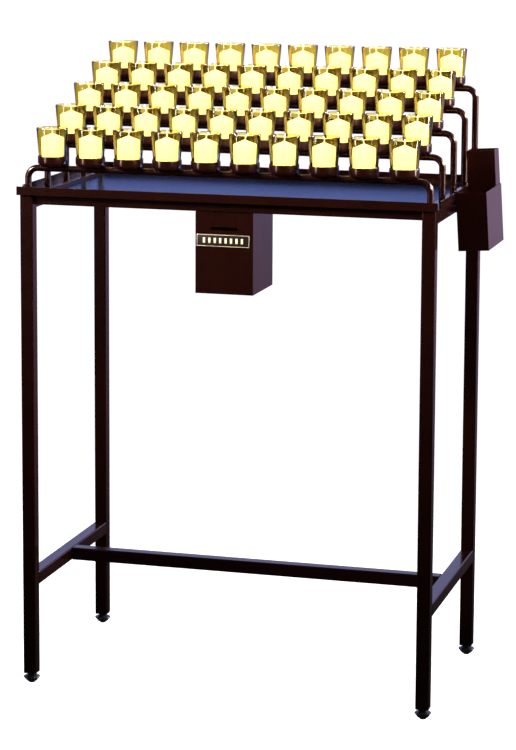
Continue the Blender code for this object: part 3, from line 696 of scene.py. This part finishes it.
def seen_directly(nodes, links):
    """1 where a surface is looked at straight on or through glass, 0 in reflections and as a light."""
    path = nodes.new("ShaderNodeLightPath")
    either = nodes.new("ShaderNodeMath")
    either.operation = "MAXIMUM"
    links.new(path.outputs["Is Camera Ray"], either.inputs[0])
    links.new(path.outputs["Is Transmission Ray"], either.inputs[1])
    return either.outputs["Value"]


def front_to_back(nodes, links, y, start, end, dark, bright):
    """A colour that goes from dark in front to bright behind, over a range of Y."""
    spread = nodes.new("ShaderNodeMapRange")
    spread.inputs["From Min"].default_value = start
    spread.inputs["From Max"].default_value = end
    links.new(y, spread.inputs["Value"])
    ramp = nodes.new("ShaderNodeValToRGB")
    ramp.color_ramp.elements[0].color = (*dark, 1.0)
    ramp.color_ramp.elements[1].color = (*bright, 1.0)
    links.new(spread.outputs["Result"], ramp.inputs["Fac"])
    return ramp.outputs["Color"]


def y_of(nodes, links, vector):
    """The Y part of a vector."""
    split = nodes.new("ShaderNodeSeparateXYZ")
    links.new(vector, split.inputs["Vector"])
    return split.outputs["Y"]


def floor_material():
    """Plain pale studio floor, dark in front and purplish behind as the rack's paint reflects it."""
    look = Look("studio_floor", 0.9, Specular_IOR_Level=0.0, Emission_Strength=0.97)
    look.colour(look.ramp(look.noise(0.7, 2), (0.3, (0.40, 0.40, 0.41)), (0.7, (0.42, 0.42, 0.43))))
    look.shader.inputs["Emission Color"].default_value = (1.0, 1.0, 1.0, 1.0)
    place = look.nodes.new("ShaderNodeTexCoord").outputs["Object"]
    glow = look.nodes.new("ShaderNodeEmission")
    around = front_to_back(look.nodes, look.links, y_of(look.nodes, look.links, place), 0.5, 7.5,
                           DIM_FRONT, PURPLE_FLOOR)
    look.links.new(around, glow.inputs["Color"])
    choice = look.nodes.new("ShaderNodeMixShader")
    look.links.new(seen_directly(look.nodes, look.links), choice.inputs["Fac"])
    look.links.new(glow.outputs["Emission"], choice.inputs[1])
    look.links.new(look.shader.outputs["BSDF"], choice.inputs[2])
    look.links.new(choice.outputs["Shader"], look.nodes["Material Output"].inputs["Surface"])
    return look.material


def build_floor():
    """A wide floor under the rack, as low as its levelling feet reach when screwed right down."""
    mesh = bpy.data.meshes.new("studio_floor")
    reach = 30.0
    corners = [(-reach, -reach, 0), (reach, -reach, 0), (reach, reach, 0), (-reach, reach, 0)]
    mesh.from_pydata(corners, [], [(0, 1, 2, 3)])
    mesh.materials.append(floor_material())
    floor = bpy.data.objects.new("studio_floor", mesh)
    bpy.context.scene.collection.objects.link(floor)
    floor.location.z = -FOOT_TRAVEL


def add_light(name, place, target, size, watts, colour, spread):
    """A rectangular soft light at a place, turned to a target. Its spread is in degrees."""
    lamp = bpy.data.lights.new(name, "AREA")
    lamp.shape = "RECTANGLE"
    lamp.size = size[0]
    lamp.size_y = size[1]
    lamp.energy = watts
    lamp.color = colour
    lamp.spread = math.radians(spread)
    obj = bpy.data.objects.new(name, lamp)
    bpy.context.scene.collection.objects.link(obj)
    obj.location = place
    obj.rotation_euler = (Vector(target) - Vector(place)).to_track_quat("-Z", "Y").to_euler()
    obj.visible_camera = False


def build_lights():
    """Two soft lights high in front, two upright strips at the sides and a soft light behind."""
    soft = (1.4, 1.4)
    strip = (0.35, 1.4)
    add_light("key_left", (-2.6, -2.0, 2.7), (-0.1, 0, 1.4), soft, 45, (1.0, 0.98, 0.97), 22)
    add_light("key_right", (2.8, -1.2, 2.5), (0, 0, 1.4), soft, 40, (1.0, 0.96, 0.97), 22)
    add_light("strip_left", (-1.9, -2.0, 1.35), (0, 0, 1.2), strip, 4, (1.0, 1.0, 1.0), 60)
    add_light("strip_right", (2.7, 0.5, 1.35), (0, 0, 1.2), strip, 9, (1.0, 0.88, 0.82), 60)
    add_light("fill_rear", (2.7, 2.3, 2.3), (0, 0, 1.0), soft, 45, (1.0, 0.97, 0.95), 40)


def build_world():
    """White where it is looked at; in reflections and as a light, dark in front and bluish behind."""
    world = bpy.data.worlds.new("studio")
    bpy.context.scene.world = world
    world.use_nodes = True
    nodes = world.node_tree.nodes
    links = world.node_tree.links
    direction = nodes.new("ShaderNodeTexCoord").outputs["Generated"]
    around = nodes["Background"]
    tint = front_to_back(nodes, links, y_of(nodes, links, direction), -0.3, 0.6, DIM_FRONT, BLUE_SKY)
    links.new(tint, around.inputs["Color"])
    white = nodes.new("ShaderNodeBackground")
    white.inputs["Color"].default_value = (1.0, 1.0, 1.0, 1.0)
    white.inputs["Strength"].default_value = 1.05
    choice = nodes.new("ShaderNodeMixShader")
    links.new(seen_directly(nodes, links), choice.inputs["Fac"])
    links.new(around.outputs["Background"], choice.inputs[1])
    links.new(white.outputs["Background"], choice.inputs[2])
    links.new(choice.outputs["Shader"], nodes["World Output"].inputs["Surface"])


def build_camera():
    """The camera, to the right of the front and a little above the cups."""
    data = bpy.data.cameras.new("camera")
    data.sensor_width = 36.0
    data.lens = 123.06
    data.shift_y = -0.18267
    data.clip_end = 100
    camera = bpy.data.objects.new("camera", data)
    bpy.context.scene.collection.objects.link(camera)
    camera.location = (1.2999, -4.7437, 1.5602)
    turn = math.radians(15.637)
    pitch = math.radians(8.067)
    roll = math.radians(0.296)
    aim = Matrix.Rotation(turn, 4, "Z") @ Matrix.Rotation(math.pi / 2 - pitch, 4, "X")
    camera.rotation_euler = (aim @ Matrix.Rotation(roll, 4, "Z")).to_euler()
    bpy.context.scene.camera = camera


build_floor()
build_world()
build_lights()
build_camera()
bpy.context.scene.view_settings.view_transform = "Standard"
